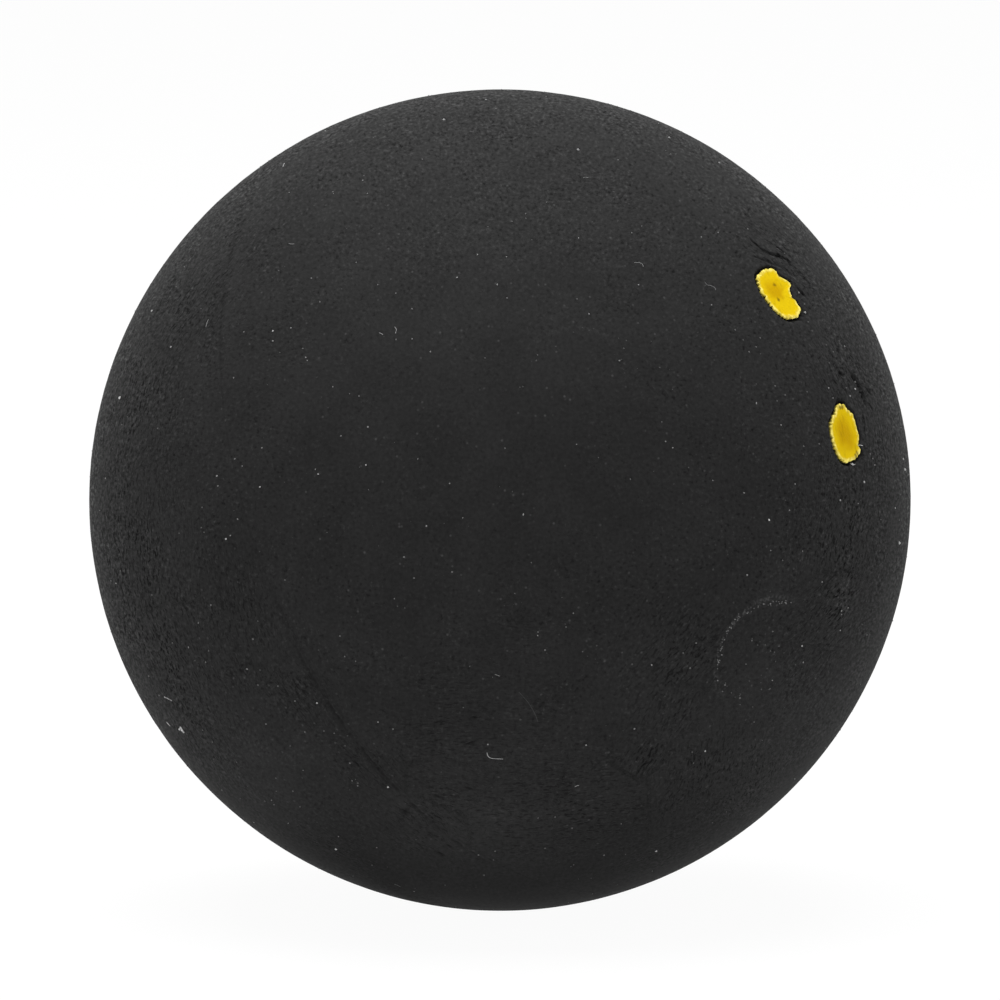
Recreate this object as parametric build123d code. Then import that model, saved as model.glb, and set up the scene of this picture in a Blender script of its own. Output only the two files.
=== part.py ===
from build123d import *
import os
from math import asin, degrees, sqrt

# Squash ball, in millimetres: two moulded rubber half shells, buffed flat at their rims and bonded
# into a sealed hollow ball, with two speed dots set in shallow pockets about the pole of one half.
# The origin is the ball's centre, +Z is up and -Y faces the viewer.

# Ball
BALL_DIAMETER = 40.0
WALL_THICKNESS = 5.0

# Seam: the cured bond between the flat rims, and the broken edges that leave a fine groove over it
BOND_THICKNESS = 0.12
BOND_SETBACK = 0.02
RIM_EDGE_BREAK = 0.05

# Speed dots, and the pockets that they lie in
DOT_DIAMETER = 2.9
DOT_THICKNESS = 0.12
DOT_SPACING = 7.44
POCKET_DEPTH = 0.2
POCKET_SIDE_CLEARANCE = 0.02

# How the ball lies, in degrees: the pole's turn from -Y towards +X, its rise above level,
# and how far the line of the dots leans back from upright about the pole
POLE_TURN = 54.6
POLE_RISE = 22.8
DOT_LINE_LEAN = 11.9

ball_radius = BALL_DIAMETER / 2
cavity_radius = ball_radius - WALL_THICKNESS
rim_height = BOND_THICKNESS / 2
rim_inner_radius = sqrt(cavity_radius**2 - rim_height**2)
rim_outer_radius = sqrt(ball_radius**2 - rim_height**2) - RIM_EDGE_BREAK
bond_outer_radius = rim_outer_radius - BOND_SETBACK
pocket_radius = DOT_DIAMETER / 2 + POCKET_SIDE_CLEARANCE
pocket_floor = ball_radius - POCKET_DEPTH
dot_angle = degrees(asin(DOT_SPACING / 2 / ball_radius))

# The ball is built about its own pole, +Z, with the dots in its YZ plane, and then laid down.
lay_down = Rotation(0, 0, POLE_TURN) * Rotation(90 - POLE_RISE, 0, 0) * Rotation(0, 0, DOT_LINE_LEAN)
standing_on_floor = (Align.CENTER, Align.CENTER, Align.MIN)


def half_shell():
    """One half of the ball about +Z: an even wall, a flat rim, and the rim's outer edge broken."""
    hollow_ball = Sphere(ball_radius) - Sphere(cavity_radius)
    half = split(hollow_ball, bisect_by=Plane.XY.offset(rim_height), keep=Keep.TOP)
    outer_rim_edge = half.edges().filter_by(GeomType.CIRCLE).sort_by(SortBy.LENGTH)[-1]
    return chamfer(outer_rim_edge, RIM_EDGE_BREAK)


def pocket_seat(angle):
    """The middle of the flat floor of a dot's pocket, facing outwards, this far over from the pole."""
    return Rotation(-angle, 0, 0) * Pos(0, 0, pocket_floor)


def pocket(angle):
    """What a dot's pocket takes out of the shell, standing clear of the ball's surface."""
    return pocket_seat(angle) * Cylinder(pocket_radius, 2 * POCKET_DEPTH, align=standing_on_floor)


def speed_dot(angle):
    """A thin yellow disc that lies on the floor of its pocket."""
    return pocket_seat(angle) * Cylinder(DOT_DIAMETER / 2, DOT_THICKNESS, align=standing_on_floor)


def seam_bond():
    """The flat ring of cured adhesive between the two rims."""
    return Cylinder(bond_outer_radius, BOND_THICKNESS) - Cylinder(rim_inner_radius, BOND_THICKNESS)


pieces = {
    "dotted_half_shell": half_shell() - pocket(dot_angle) - pocket(-dot_angle),
    "plain_half_shell": Rotation(180, 0, 0) * half_shell(),
    "seam_bond": seam_bond(),
    "upper_yellow_dot": speed_dot(dot_angle),
    "lower_yellow_dot": speed_dot(-dot_angle),
}

os.makedirs("parts", exist_ok=True)
for node, shape in pieces.items():
    export_step(lay_down * shape, f"parts/{node}.step")
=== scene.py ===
import math

import bmesh
import bpy
import numpy as np
from mathutils import Matrix, Vector


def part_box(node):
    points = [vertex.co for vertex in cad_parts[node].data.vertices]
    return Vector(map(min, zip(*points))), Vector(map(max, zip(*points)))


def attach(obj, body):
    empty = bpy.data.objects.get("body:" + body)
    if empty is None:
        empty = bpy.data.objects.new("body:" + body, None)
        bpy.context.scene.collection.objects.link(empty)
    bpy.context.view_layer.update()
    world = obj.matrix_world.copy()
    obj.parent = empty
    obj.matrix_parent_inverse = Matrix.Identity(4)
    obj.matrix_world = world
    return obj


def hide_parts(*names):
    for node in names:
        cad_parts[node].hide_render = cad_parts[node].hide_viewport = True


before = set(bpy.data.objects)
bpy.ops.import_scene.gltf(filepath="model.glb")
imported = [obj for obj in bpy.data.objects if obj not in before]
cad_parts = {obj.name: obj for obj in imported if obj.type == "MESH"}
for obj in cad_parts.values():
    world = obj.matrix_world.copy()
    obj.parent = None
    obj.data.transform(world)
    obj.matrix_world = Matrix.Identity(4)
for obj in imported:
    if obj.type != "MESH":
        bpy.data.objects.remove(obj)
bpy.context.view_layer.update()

# Rubber half shells
# Two cups of black rubber, pressed in a heated mould and bonded rim to rim. The closed ball is then
# buffed all over, which leaves a dull, finely grained skin, creased where it gives way about the dots.
BALL_RADIUS = 0.0200
SKIN_RADIUS = 0.01993
LINING_RADIUS = 0.0150
RIM_HEIGHT = 0.00006
RIM_STRIP = 0.00025
OUTER_CELLS = 280
INNER_CELLS = 56


def node_middle(node):
    """The middle of a CAD node's box."""
    low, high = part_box(node)
    return (Vector(low) + Vector(high)) / 2


# How the ball lies: the pole is midway between the dots, and the seam is square to the pole.
upper_way = node_middle("upper_yellow_dot").normalized()
lower_way = node_middle("lower_yellow_dot").normalized()
pole = (upper_way + lower_way).normalized()
dot_line = (upper_way - lower_way).normalized()
lay_down = Matrix((dot_line.cross(pole), dot_line, pole)).transposed()

# The view of the photograph, which turns its pixels into points of the skin.
PHOTO_SIDE = 1000
BALL_EDGE_IN_PIXELS = 410.74
CAMERA_DISTANCE = 0.400
CAMERA_RISE = math.radians(6)
camera_back = Vector((0, -math.cos(CAMERA_RISE), math.sin(CAMERA_RISE)))
camera_up = Vector((0, math.sin(CAMERA_RISE), math.cos(CAMERA_RISE)))
camera_right = Vector((1, 0, 0))
pixel_focal = BALL_EDGE_IN_PIXELS / math.tan(math.asin(SKIN_RADIUS / CAMERA_DISTANCE))


def on_skin(pixel):
    """The point of the skin that the photograph shows at a pixel."""
    right = (pixel[0] - PHOTO_SIDE / 2) / pixel_focal
    down = (pixel[1] - PHOTO_SIDE / 2) / pixel_focal
    ray = (camera_right * right - camera_up * down - camera_back).normalized()
    nearest = camera_back * CAMERA_DISTANCE - ray * ray.dot(camera_back) * CAMERA_DISTANCE
    return nearest - ray * math.sqrt(SKIN_RADIUS**2 - nearest.length_squared)


def cup_square(cells):
    """The points of a square grid from -1 to 1, in rows, with a narrow strip of cells along its edge."""
    inside = np.linspace(RIM_STRIP - 1, 1 - RIM_STRIP, cells - 1)
    side = np.concatenate([[-1], inside, [1]])
    across, along = np.meshgrid(side, side, indexing="ij")
    return np.stack([across, along], axis=-1).reshape(-1, 2)


def cup_face(square, radius):
    """A square grid laid over a half sphere about +Z in even cells, with the grid's edge on the rim."""
    across, along = square.T
    wide = abs(across) > abs(along)
    reach = np.where(wide, across, along)
    other = np.where(wide, along, across)
    share = np.divide(other, reach, out=np.zeros_like(reach), where=reach != 0)
    turn = np.where(wide, share, 2 - share) * math.pi / 4
    rim = RIM_HEIGHT / radius
    rise = rim + (1 - rim) * (1 - reach**2)
    level = np.sqrt(1 - rise**2) * np.sign(reach)
    return np.stack([level * np.cos(turn), level * np.sin(turn), rise], axis=-1) * radius


def grid_faces(cells, first, flip):
    """The faces of a square grid of points, and its border points in order."""
    index = first + np.arange((cells + 1) ** 2).reshape(cells + 1, cells + 1)
    corners = [index[:-1, :-1], index[1:, :-1], index[1:, 1:], index[:-1, 1:]]
    faces = np.stack(corners[::-1] if flip else corners, axis=-1).reshape(-1, 4)
    border = np.concatenate([index[:-1, 0], index[-1, :-1], index[:0:-1, -1], index[0, :0:-1]])
    return faces.tolist(), border.tolist()


# The map that the shells are baked on: the middle and half side of the skin's square and of the lining's,
# and the share of the lining's square inside the rim.
SKIN_PATCH = (0.470, 0.465)
LINING_PATCH = (0.967, 0.028)
LINING_SHARE = 0.7


def half_shell_mesh(name, turn_over):
    """A closed cup with a bake map: the outer face, the lining, and the flat rim between them."""
    outer_square = cup_square(OUTER_CELLS)
    inner_square = cup_square(INNER_CELLS)
    outer = cup_face(outer_square, SKIN_RADIUS)
    outer_faces, outer_border = grid_faces(OUTER_CELLS, 0, flip=False)
    inner = cup_face(inner_square, LINING_RADIUS)
    inner_faces, inner_border = grid_faces(INNER_CELLS, len(outer), flip=True)
    step = OUTER_CELLS // INNER_CELLS
    outer_loop = outer_border + outer_border[:1]
    inner_loop = inner_border + inner_border[:1]
    rim_faces = []
    for i in range(len(inner_border)):
        edge = outer_loop[i * step:(i + 1) * step + 1]
        rim_faces.append(edge[::-1] + [inner_loop[i], inner_loop[i + 1]])
    points = np.concatenate([outer, inner])
    if turn_over:
        points = points * [1, -1, -1]
    points = points @ np.array(lay_down).T
    mesh = bpy.data.meshes.new(name)
    mesh.from_pydata(points.tolist(), [], outer_faces + inner_faces + rim_faces)
    mesh.shade_smooth()
    flat = np.arange(len(mesh.polygons)) >= len(outer_faces) + len(inner_faces)
    mesh.attributes.new("sharp_face", "BOOLEAN", "FACE").data.foreach_set("value", flat)
    skin_middle, skin_half = SKIN_PATCH
    lining_middle, lining_half = LINING_PATCH
    skin_map = skin_middle + skin_half * outer_square
    lining_map = lining_middle + lining_half * np.concatenate([outer_square, LINING_SHARE * inner_square])
    corners = np.array([corner.vertex_index for corner in mesh.loops])
    on_outer = np.arange(len(corners)) < 4 * len(outer_faces)
    places = lining_map[corners]
    places[on_outer] = skin_map[corners[on_outer]]
    mesh.uv_layers.new(name="OFBake").uv.foreach_set("vector", places.ravel())
    return mesh


# The pockets that hold the dots, with the worn outlines that the photograph shows.
POCKET_DEPTH = 0.00018
POCKET_WALL = 0.00004
POCKET_GAP = 0.00015
POCKET_SHOULDER_SINK = 0.000012
POCKET_SHOULDER_REACH = 0.00012
DOT_OUTLINE_PIXELS = {
    "upper_yellow_dot": [
        (757, 278), (757.4, 275.3), (760.3, 272.2), (763.5, 269.4), (768.5, 267.8), (773.7, 268.5),
        (776.9, 271), (777.3, 273.5), (780.3, 276.4), (785.3, 279.1), (790.4, 282), (791.5, 285.1),
        (790.4, 287.4), (790, 290.5), (791.5, 293.9), (792.7, 298), (796.1, 300.3), (798.5, 304.9),
        (801.1, 308), (801.5, 311.2), (799.7, 314.5), (798.4, 317.3), (793.5, 318.2), (788.9, 318.9),
        (784.9, 317.7), (780.9, 315.3), (777.1, 311.5), (774, 308.5), (770.9, 305.3), (769.7, 303),
        (767.4, 300.8), (765.7, 296.9), (762.4, 293.8), (760.8, 288.6), (759.3, 286), (758.1, 283),
    ],
    "lower_yellow_dot": [
        (840.4, 403.2), (843.6, 403.1), (845.1, 404.6), (845.8, 406.4), (848.1, 409.1), (851.6, 412.1),
        (853.7, 414), (853.9, 417.4), (855.8, 421.1), (856.9, 427), (858.5, 432.4), (859.7, 437.1),
        (859.4, 440.7), (858.6, 444.8), (859.5, 447.5), (861.2, 449.4), (860.8, 452.6), (858.5, 456.4),
        (856, 459.2), (851.5, 461.1), (847.6, 463.1), (844.3, 462), (840.9, 459.7), (838.1, 454.7),
        (835.4, 449.1), (834.1, 443.6), (832.2, 437.2), (831.3, 430.7), (830.9, 426.2), (830.9, 422),
        (832.7, 419.2), (833.5, 415.1), (835.9, 412.4), (836.3, 408.5), (837.3, 405.4),
    ],
}
TOOTHED_SIDE_PIXELS = {"upper_yellow_dot": (762, 291), "lower_yellow_dot": (831, 426)}
TOOTH_COUNT = 30
TOOTH_DEPTH = 0.00015
TOOTH_SHIFTS = ((3, 1.0, 0.07), (7, 2.0, 0.05))
TOOTH_WEAR = (11, 0.7, 0.35)
TOOTHED_SIDE_GAIN = 0.28
dot_ways = {"upper_yellow_dot": upper_way, "lower_yellow_dot": lower_way}


def dot_axes(node):
    """A dot's axis, and the ways across and along the line of the dots that are square to it."""
    way = np.array(dot_ways[node])
    along = np.array(dot_line) - way * way.dot(dot_line)
    along /= np.linalg.norm(along)
    return way, np.cross(along, way), along


def about_dot(node, points):
    """Each point's turn about a dot's middle, and its distance from the dot's axis."""
    across, along = dot_axes(node)[1:]
    return np.arctan2(points @ along, points @ across), np.hypot(points @ along, points @ across)


def dot_edge(node, turns):
    """How far a dot's worn edge lies from its axis at each turn."""
    outline = np.array([on_skin(pixel) for pixel in DOT_OUTLINE_PIXELS[node]])
    outline_turns, outline_reach = about_dot(node, outline)
    return np.interp(turns, outline_turns, outline_reach, period=2 * math.pi)


def dot_notches(node, turns):
    """How deep the notches between the teeth of a dot's edge are at each turn."""
    toothed_side = about_dot(node, np.array([on_skin(TOOTHED_SIDE_PIXELS[node])]))[0]
    shifted = turns + sum(size * np.sin(count * turns + start) for count, start, size in TOOTH_SHIFTS)
    notch = 1 - abs(np.sin(TOOTH_COUNT / 2 * shifted))
    count, start, size = TOOTH_WEAR
    wear = 1 - size + size * np.sin(count * turns + start)
    toothed = 1 - TOOTHED_SIDE_GAIN + TOOTHED_SIDE_GAIN * np.cos(turns - toothed_side)
    return TOOTH_DEPTH * notch * wear * toothed


# Creases in the skin: each one's half width, its depth, and pixels along it.
CREASE_TIP = 0.02
CREASE_EDGE_PLACE = 2
CREASE_EDGE_PUSH = 0.35
CREASE_WANDER = 0.000022
CREASE_WANDER_SIZE = 0.00018
CREASE_BREAK_SIZE = 0.00045
CREASE_WHOLE = 0.9
CREASE_BREAK = 0.35
CREASE_LEAST = 0.3
CREASES = [
    # About the upper dot.
    (0.00005, 0.00006, [(748, 236), (754, 243), (759.5, 248), (763.6, 250.7), (770.7, 254)]),
    (0.00008, 0.00014, [
        (763, 250.5), (770.7, 254.3), (778.6, 255.7), (785, 258.6), (789.3, 262.1), (793, 268),
    ]),
    (0.00005, 0.00005, [(750, 255.5), (755.7, 257), (761.4, 259.5), (767, 260)]),
    (0.00009, 0.00014, [(766, 260.5), (773, 264), (780, 266.5), (785.7, 269.3), (790, 273.6), (797, 278)]),
    (0.00009, 0.00015, [(795, 285), (799, 290.5), (805, 296.3)]),
    (0.00006, 0.00008, [(799, 297), (804, 302.5)]),
    (0.00005, 0.00008, [(807, 281), (811, 286), (816, 294)]),
    (0.00005, 0.00005, [(798, 270), (803, 276), (806, 281)]),
    (0.00005, 0.00005, [(776, 247), (781, 250), (786, 254)]),
    (0.00005, 0.00005, [(803, 285), (806, 290)]),
    (0.00005, 0.00005, [(735, 254), (738, 251)]),
    (0.00005, 0.00005, [(739, 258), (742, 254.5)]),
    (0.00005, 0.00005, [(743, 246), (747, 249)]),
    # About the lower dot.
    (0.000095, 0.0002, [
        (851, 375), (853, 377.5), (857.2, 383.8), (860.7, 390.7), (863, 397.2), (865.3, 405),
    ]),
    (0.00005, 0.00007, [(862, 412), (864, 421), (864.5, 433)]),
    (0.00006, 0.00008, [(839, 371), (843, 377)]),
    (0.00005, 0.00005, [(823, 379.5), (826, 384)]),
    (0.00005, 0.00005, [(833, 379), (838, 386)]),
    (0.00005, 0.00006, [(846, 366), (850, 373)]),
    (0.00005, 0.00006, [(866, 388), (871, 395)]),
    (0.00005, 0.00005, [(869, 403), (873, 411)]),
    # Low on the front.
    (0.00006, 0.00007, [(637, 772), (645, 763), (655, 752)]),
    (0.00005, 0.00005, [(641, 775), (648, 766)]),
    (0.00006, 0.00004, [(464, 745), (470, 743), (477, 740)]),
    (0.00006, 0.00004, [(465, 787), (473, 789), (480, 790)]),
    (0.00006, 0.00004, [(430, 793), (438, 796), (445, 798)]),
    (0.00006, 0.00004, [(470, 717), (478, 717)]),
    (0.00006, 0.00004, [(448, 726), (455, 730)]),
    # Along the seam.
    (0.00009, 0.00002, [(251, 541), (276, 603), (305, 664)]),
    (0.00009, 0.00004, [
        (288, 632), (310, 673), (340, 720), (379, 769.5), (421, 812), (464, 847.5), (490, 863),
    ]),
    (0.00008, 0.00003, [(249, 207), (232, 251), (223, 301.5), (220.5, 343), (222, 380)]),
    (0.00007, 0.00005, [(354, 760), (360, 768)]),
    (0.00007, 0.00005, [(381, 783), (388, 787)]),
    (0.00007, 0.00006, [(400, 809), (409, 814)]),
    (0.00007, 0.00006, [(414, 818), (423, 826)]),
    (0.00007, 0.00006, [(428, 832), (441, 838)]),
    (0.00007, 0.00005, [(447, 844), (452, 848)]),
    (0.00007, 0.00004, [(434, 850), (445, 856)]),
    # A wide, shallow dent near the top.
    (0.00045, 0.000022, [(510, 104), (530, 122), (552, 145), (575, 165)]),
]
# The depth from which a narrow crease takes its full painted shade.
CREASE_FULL_SHADE_FROM = 0.00006
FINE_CUTS = 3
FINE_DOT_REACH = 0.00175
FINE_CREASE_REACH = 0.00022
FINE_CREASE_WIDTH = 0.00010
FINE_CREASE_DEPTH = 0.000015

# Round marks stamped faintly into the skin: the middle's pixel, and the radius and depth of the mark.
# Below are the strength of the scuff round each mark, and the pixel where it is brightest.
STAMP_EDGE = 0.00020
STAMPS = [
    ((765, 655), 0.00285, 0.000014),
    ((578, 385), 0.00285, 0.000008),
]
SCUFF_STRENGTHS = [1.0, 0.25]
SCUFFED_SIDE_PIXELS = [(730, 625), (590, 329)]

# The buffed skin is evenly rough, except where handling has rubbed it smooth: on the front, and low down.
# Each place has its middle's pixel, its radius, and the share of the roughness that it has lost.
EVEN_SKIN = 1.10
RUBBED_PLACES = [
    ((480, 410), 0.0165, 0.75),
    ((520, 900), 0.0130, 0.90),
    ((800, 780), 0.0095, 0.62),
    ((270, 830), 0.0080, 0.60),
]

# Where the buffing wheel left strokes: the middle's pixel, the patch's radius and strength, and how far
# its strokes lean from level in the photograph, in degrees.
STROKED_PATCHES = [
    ((592, 806), 0.0032, 0.72, 4),
    ((525, 810), 0.0036, 0.62, 0),
    ((462, 785), 0.0030, 0.48, -8),
    ((475, 738), 0.0040, 0.45, 0),
    ((520, 640), 0.0030, 0.25, 0),
    ((680, 655), 0.0028, 0.66, 52),
    ((668, 705), 0.0024, 0.62, 62),
    ((640, 757), 0.0014, 0.85, 60),
    ((705, 772), 0.0030, 0.92, 82),
    ((752, 782), 0.0024, 0.88, 98),
    ((850, 535), 0.0036, 0.95, 74),
    ((838, 605), 0.0028, 1.10, 42),
    ((815, 665), 0.0026, 0.65, 60),
    ((780, 245), 0.0024, 0.75, -35),
    ((845, 370), 0.0024, 0.75, -58),
    ((880, 440), 0.0026, 0.70, -84),
    ((500, 125), 0.0040, 0.35, 6),
    ((640, 125), 0.0040, 0.35, -18),
    ((590, 175), 0.0040, 0.25, -12),
    ((185, 300), 0.0042, 0.85, 58),
    ((125, 410), 0.0046, 1.20, 76),
    ((125, 560), 0.0054, 1.35, -84),
    ((160, 650), 0.0044, 1.20, -74),
    ((185, 725), 0.0034, 0.75, -64),
    ((235, 620), 0.0034, 0.60, -78),
    ((300, 690), 0.0022, 0.45, -58),
    ((370, 770), 0.0020, 0.50, -50),
    ((430, 825), 0.0022, 0.60, -36),
    ((330, 850), 0.0026, 0.30, -30),
    ((660, 850), 0.0024, 0.30, 22),
]


def stroke_direction(lean):
    """The way that strokes run which lean this far from level in the photograph."""
    return camera_right * math.cos(math.radians(lean)) + camera_up * math.sin(math.radians(lean))


WANDER_SEED = 4
WANDER_WAVES = 6
WANDER_SWING = 0.6


def uneven(points, size):
    """A value from about -1 to 1 at each point that wanders over the skin in steps of about this size."""
    ways = np.random.default_rng(WANDER_SEED).normal(size=(3, WANDER_WAVES))
    return WANDER_SWING * np.sin(points @ ways * 2 / size).sum(axis=1)


def reach_from(points, pixel):
    """Each point's distance from the point of the skin at a pixel."""
    return np.linalg.norm(points - np.array(on_skin(pixel)), axis=1)


def spot(points, pixel, radius):
    """A share that is 1 at the point of the skin at a pixel, and fades away over about this radius."""
    return np.exp(-(reach_from(points, pixel) / radius) ** 2)


def line_gap(points, pixels):
    """Each point's distance from a line of pixels on the skin, and how far along the line it lies."""
    line = np.array([on_skin(pixel) for pixel in pixels])
    gap = np.full(len(points), np.inf)
    along = np.zeros(len(points))
    for number in range(len(line) - 1):
        step = line[number + 1] - line[number]
        share = np.clip((points - line[number]) @ step / (step @ step), 0, 1)
        distance = np.linalg.norm(points - line[number] - share[:, None] * step, axis=1)
        nearer = distance < gap
        gap[nearer] = distance[nearer]
        along[nearer] = (number + share[nearer]) / (len(line) - 1)
    return gap, along


def note(mesh, name, values):
    """Keeps a value for each point of a mesh under a name."""
    mesh.attributes.new(name, "FLOAT", "POINT").data.foreach_set("value", values)


def mesh_points(mesh):
    """The points of a mesh as rows."""
    points = np.empty(3 * len(mesh.vertices))
    mesh.vertices.foreach_get("co", points)
    return points.reshape(-1, 3)


def refine(mesh):
    """Cuts the outer face's cells finer about the pockets and the narrow creases."""
    points = mesh_points(mesh)
    fine = np.zeros(len(points), dtype=bool)
    for node, way in dot_ways.items():
        reach = about_dot(node, points)[1]
        fine |= (reach < FINE_DOT_REACH) & (points @ np.array(way) > LINING_RADIUS)
    for width, depth, pixels in CREASES:
        if width < FINE_CREASE_WIDTH and depth > FINE_CREASE_DEPTH:
            fine |= line_gap(points, pixels)[0] < FINE_CREASE_REACH
    fine &= np.linalg.norm(points, axis=1) > (SKIN_RADIUS + LINING_RADIUS) / 2
    build = bmesh.new()
    build.from_mesh(mesh)
    edges = [edge for edge in build.edges if all(fine[corner.index] for corner in edge.verts)]
    made = bmesh.ops.subdivide_edges(build, edges=edges, cuts=FINE_CUTS, use_grid_fill=True)
    for corner in {item for item in made["geom_inner"] if isinstance(item, bmesh.types.BMVert)}:
        corner.co = corner.co.normalized() * SKIN_RADIUS
    build.to_mesh(mesh)
    build.free()


def press_marks(mesh):
    """Presses pockets, creases and stamps into the skin, and notes its creases and pockets for painted
    shade, its roughness and its strokes.
    """
    points = mesh_points(mesh)
    depth = np.zeros(len(points))
    crease = np.zeros(len(points))
    stroked = np.zeros(len(points))
    stroke_ways = np.zeros((len(points), 3))
    wander = CREASE_WANDER * uneven(points, CREASE_WANDER_SIZE)
    unbroken = CREASE_WHOLE + CREASE_BREAK * uneven(points, CREASE_BREAK_SIZE)
    unbroken = np.clip(unbroken, CREASE_LEAST, 1)
    rough = np.full(len(points), EVEN_SKIN)
    for pixel, radius, lost in RUBBED_PLACES:
        rough *= 1 - lost * spot(points, pixel, radius)
    for node, way in dot_ways.items():
        turns, reach = about_dot(node, points)
        reach[points @ np.array(way) < LINING_RADIUS] = 1
        outside = reach - dot_edge(node, turns) - POCKET_GAP
        shoulder = POCKET_SHOULDER_SINK * np.exp(-np.maximum(outside, 0) / POCKET_SHOULDER_REACH)
        inside = np.clip(-outside / POCKET_WALL, 0, 1)
        depth += shoulder + (POCKET_DEPTH - POCKET_SHOULDER_SINK) * inside
        crease = np.maximum(crease, inside)
    for width, deepest, pixels in CREASES:
        gap, along = line_gap(points, pixels)
        fade = np.sqrt(np.sin(math.pi * np.clip(along, CREASE_TIP, 1 - CREASE_TIP)))
        if width < FINE_CREASE_WIDTH:
            gap = np.maximum(gap + wander, 0)
            fade = fade * unbroken
        pushed = CREASE_EDGE_PUSH * np.exp(-(gap / width - CREASE_EDGE_PLACE) ** 2)
        cut = fade * np.exp(-(gap / width) ** 2)
        depth += deepest * (cut - fade * pushed)
        if width < FINE_CREASE_WIDTH:
            crease = np.maximum(crease, cut * min(1, deepest / CREASE_FULL_SHADE_FROM))
    for pixel, radius, deepest in STAMPS:
        past_edge = (reach_from(points, pixel) - radius) / STAMP_EDGE
        depth += deepest * (1 - np.tanh(2 * past_edge)) / 2
    for pixel, radius, strength, lean in STROKED_PATCHES:
        share = strength * spot(points, pixel, radius)
        stroke_ways[share > stroked] = stroke_direction(lean)
        stroked = np.maximum(stroked, share)
    depth[np.linalg.norm(points, axis=1) < (SKIN_RADIUS + LINING_RADIUS) / 2] = 0
    points *= (1 - depth / SKIN_RADIUS)[:, None]
    mesh.vertices.foreach_set("co", points.ravel())
    # The crease note marks where the rubber gets painted shade: in the dots' pockets and along the narrow
    # creases.
    note(mesh, "crease", crease)
    note(mesh, "rough", rough)
    note(mesh, "stroked", stroked)
    ways = mesh.attributes.new("stroke_way", "FLOAT_VECTOR", "POINT")
    ways.data.foreach_set("vector", stroke_ways.ravel())
    mesh.update()


def add_node(tree, kind, settings=None, inputs=None):
    """A node with its settings, and its inputs set to values or linked to other nodes' outputs."""
    node = tree.nodes.new(kind)
    for name, value in (settings or {}).items():
        setattr(node, name, value)
    for name, value in (inputs or {}).items():
        if isinstance(value, bpy.types.NodeSocket):
            tree.links.new(value, node.inputs[name])
        else:
            node.inputs[name].default_value = value
    return node


def calculate(tree, operation, *values):
    """The result of a Math node on values or outputs."""
    node = add_node(tree, "ShaderNodeMath", {"operation": operation}, dict(enumerate(values)))
    return node.outputs[0]


def times(tree, product, *values):
    """The product of values or outputs."""
    for value in values:
        product = calculate(tree, "MULTIPLY", product, value)
    return product


def vector_math(tree, operation, *values):
    """The result of a Vector Math node on vectors or outputs, which is a number for a measure."""
    node = add_node(tree, "ShaderNodeVectorMath", {"operation": operation}, dict(enumerate(values)))
    measure = operation in ("LENGTH", "DISTANCE", "DOT_PRODUCT")
    return node.outputs["Value" if measure else "Vector"]


def noise(tree, place, size, detail=2.0, seed=None):
    """A noise from 0 to 1 with features about this many metres across."""
    scale = calculate(tree, "DIVIDE", 1.0, size)
    inputs = {"Vector": place, "Scale": scale, "Detail": detail}
    if seed is not None:
        inputs["W"] = seed
    dimensions = "3D" if seed is None else "4D"
    return add_node(tree, "ShaderNodeTexNoise", {"noise_dimensions": dimensions}, inputs).outputs["Fac"]


def swing(tree, level):
    """How far a noise lies above or below its middle."""
    return calculate(tree, "SUBTRACT", level, 0.5)


def ranged(tree, value, start, end, first, last):
    """A value carried smoothly from one range to another, and held at its ends."""
    inputs = {"Value": value, "From Min": start, "From Max": end, "To Min": first, "To Max": last}
    node = add_node(tree, "ShaderNodeMapRange", {"interpolation_type": "SMOOTHSTEP"}, inputs)
    return node.outputs["Result"]


def new_tree(name, inputs):
    """A geometry tree with named inputs of these kinds, and its input and output nodes."""
    tree = bpy.data.node_groups.new(name, "GeometryNodeTree")
    tree.interface.new_socket("Geometry", in_out="INPUT", socket_type="NodeSocketGeometry")
    for label, kind in inputs.items():
        tree.interface.new_socket(label, in_out="INPUT", socket_type=f"NodeSocket{kind}")
    tree.interface.new_socket("Geometry", in_out="OUTPUT", socket_type="NodeSocketGeometry")
    return tree, add_node(tree, "NodeGroupInput").outputs, add_node(tree, "NodeGroupOutput").inputs


def point_value(tree, name):
    """What a mesh keeps for each of its points under a name, in a geometry tree."""
    node = add_node(tree, "GeometryNodeInputNamedAttribute", {"data_type": "FLOAT"}, {"Name": name})
    return node.outputs["Attribute"]


def finish_tree(tree, geometry, material, out):
    """Ends a tree in Realize Instances and Set Material."""
    real = add_node(tree, "GeometryNodeRealizeInstances", {}, {"Geometry": geometry})
    inputs = {"Geometry": real.outputs["Geometry"], "Material": material}
    painted = add_node(tree, "GeometryNodeSetMaterial", {}, inputs)
    tree.links.new(painted.outputs["Geometry"], out["Geometry"])


def run_tree(piece, tree, values):
    """Gives a piece the plain mesh that a geometry tree makes from it with these input values."""
    modifier = piece.modifiers.new(tree.name, "NODES")
    modifier.node_group = tree
    for socket in tree.interface.items_tree:
        if socket.in_out == "INPUT" and socket.name in values:
            modifier[socket.identifier] = values[socket.name]
    evaluated = piece.evaluated_get(bpy.context.evaluated_depsgraph_get())
    mesh = bpy.data.meshes.new_from_object(evaluated)
    mesh.materials.clear()
    mesh.materials.append(values["Material"])
    piece.modifiers.remove(modifier)
    piece.data = mesh


def make_piece(name, mesh):
    """A new object in the scene around a mesh."""
    piece = bpy.data.objects.new(name, mesh)
    bpy.context.scene.collection.objects.link(piece)
    return piece


# The skin's relief that the mould and the buffing leave: sizes of its features, and heights.
SKIN_RELIEF = {
    "Wave Size": 0.012,
    "Wave Height": 0.000024,
    "Lump Size": 0.0026,
    "Lump Height": 0.000010,
    "Grain Size": 0.00055,
    "Grain Height": 0.000012,
    "Seed": 3.0,
    "Skin From": 0.0194,
}


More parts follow.
